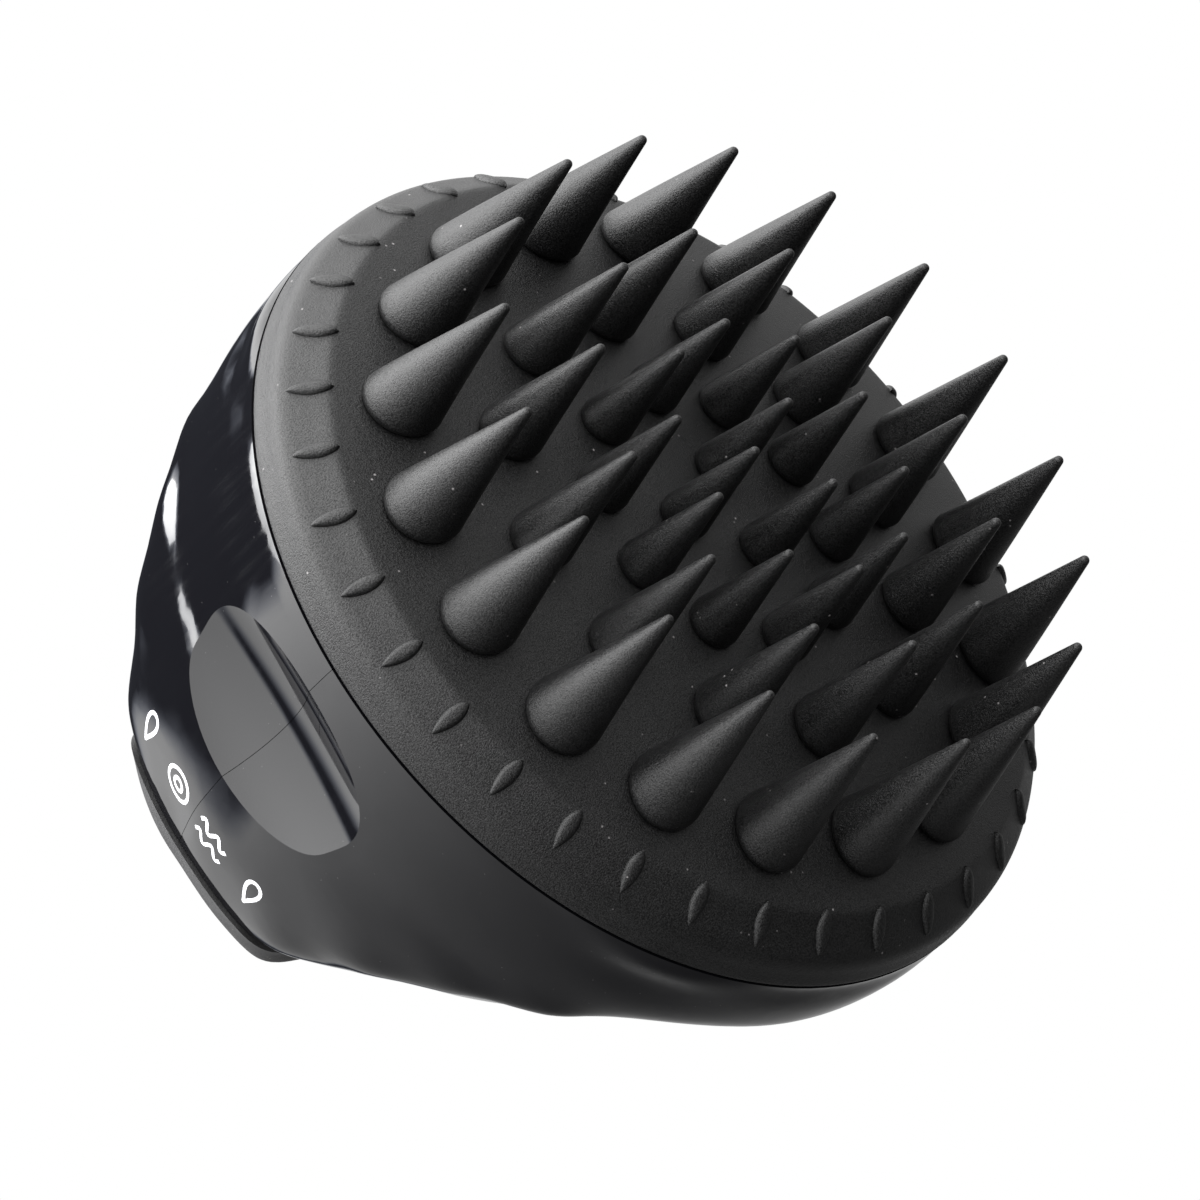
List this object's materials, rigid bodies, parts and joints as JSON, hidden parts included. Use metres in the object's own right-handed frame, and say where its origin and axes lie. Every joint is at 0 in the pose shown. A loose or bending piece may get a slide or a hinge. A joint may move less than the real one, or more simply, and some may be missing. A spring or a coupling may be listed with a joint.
{
  "type": "scalp massager brush",
  "caption": "Round scalp massager: a silicone pad of conical bristles twists into a hollow two-shell handle with pinched sides, soft-touch crown strip and push button.",
  "frame": {"origin": "centre of the plane through the tips of the outer bristles", "axes": "+Z from the bristle tips up to the crown of the handle, X along the seam of the handle so that the finger dimples are at +X and -X, -Y is the front side scoop"},
  "size_m": [0.0904, 0.0904, 0.075],
  "materials": {
    "silicone_black": "matte moulded silicone",
    "abs_dark": "moulded, fine spark texture",
    "abs_grey": "moulded",
    "gloss_black": "high gloss",
    "soft_touch": "matte soft touch",
    "soft_touch_button": "matte soft touch",
    "seal_rubber": "smooth",
    "steel": "zinc plated",
    "spring_steel": "nickel plated wire",
    "nickel_plate": "nickel plated strip",
    "motor_can": "drawn steel can",
    "brass": "sintered weight",
    "cell_jacket": "printed sleeve",
    "board_green": "solder mask",
    "switch_black": "moulded",
    "switch_plunger": "moulded",
    "wire_red": "insulation",
    "wire_black": "insulation",
    "wire_blue": "insulation"
  },
  "bodies": {
    "handle": {"housing_front": "gloss_black", "housing_rear": "gloss_black", "grip_strip": "soft_touch", "bayonet_ring": "abs_dark", "bayonet_screws": "steel", "chassis": "abs_grey", "chassis_screws": "steel", "battery_a": "cell_jacket", "battery_b": "cell_jacket", "battery_springs": "spring_steel", "battery_contacts": "nickel_plate", "motor": "motor_can", "motor_clamp": "nickel_plate", "motor_clamp_screws": "steel", "switch_board": "board_green", "board_screws": "steel", "tact_switch": "switch_black", "button_seal": "seal_rubber", "wire_red": "wire_red", "wire_black": "wire_black", "wire_motor": "wire_blue"},
    "head": {"bristle_pad": "silicone_black", "base_plate": "abs_dark", "pad_ring": "abs_dark", "pad_ring_screws": "steel", "head_seal": "seal_rubber"},
    "rotor": {"motor_shaft": "steel", "eccentric_weight": "brass"},
    "button": {"power_button": "soft_touch_button", "switch_plunger": "switch_plunger"}
  },
  "joints": [
    {"name": "head_twist", "type": "hinge", "parent": "handle", "child": "head", "pos_m": [0, 0, 0.03], "axis": [0, 0, 1], "range_deg": [-42, 0]},
    {"name": "weight_spin", "type": "hinge", "parent": "handle", "child": "rotor", "pos_m": [0.016, 0, 0.0532], "axis": [1, 0, 0], "continuous": true},
    {"name": "button_press", "type": "slide", "parent": "handle", "child": "button", "axis": [0, 0, -1], "range_m": [0, 0.0005], "stiffness_N_per_m": 400}
  ]
}
